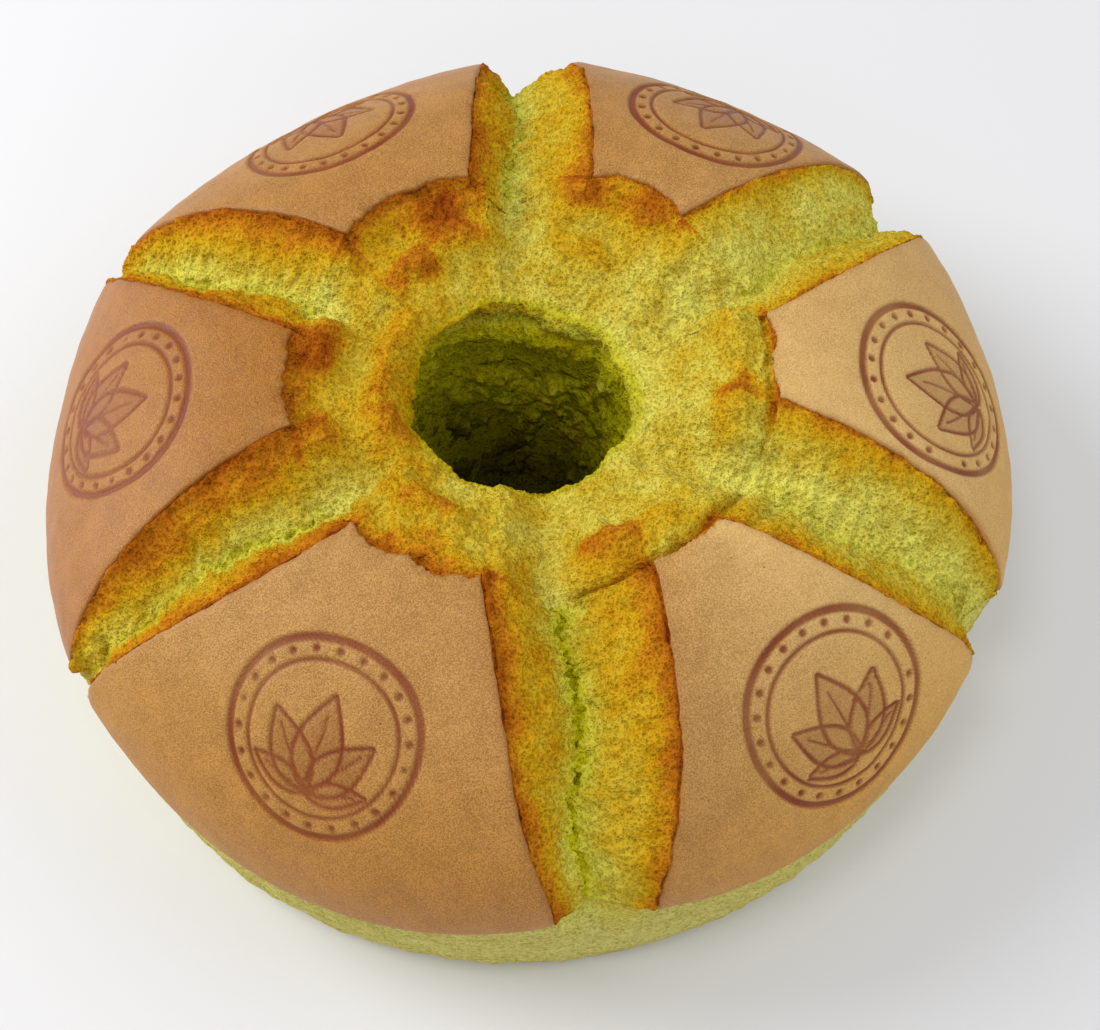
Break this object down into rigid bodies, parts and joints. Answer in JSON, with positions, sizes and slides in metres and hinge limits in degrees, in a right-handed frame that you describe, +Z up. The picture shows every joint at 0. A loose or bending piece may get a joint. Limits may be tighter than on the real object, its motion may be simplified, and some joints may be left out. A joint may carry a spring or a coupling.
{
  "type": "pandan chiffon cake",
  "caption": "Round green sponge cake with a hole through its middle, a domed brown crust split by radial cracks into panels, and a sunken crumb crown round the hole",
  "frame": {"origin": "centre of the flat base, on the surface the cake stands on", "axes": "+Z up, -Y towards the front crack, +X to the right"},
  "size_m": [0.2008, 0.2, 0.0735],
  "materials": {
    "crumb": "matte",
    "crust": "matte"
  },
  "bodies": {
    "root": {"cake": "crumb"}
  },
  "joints": []
}
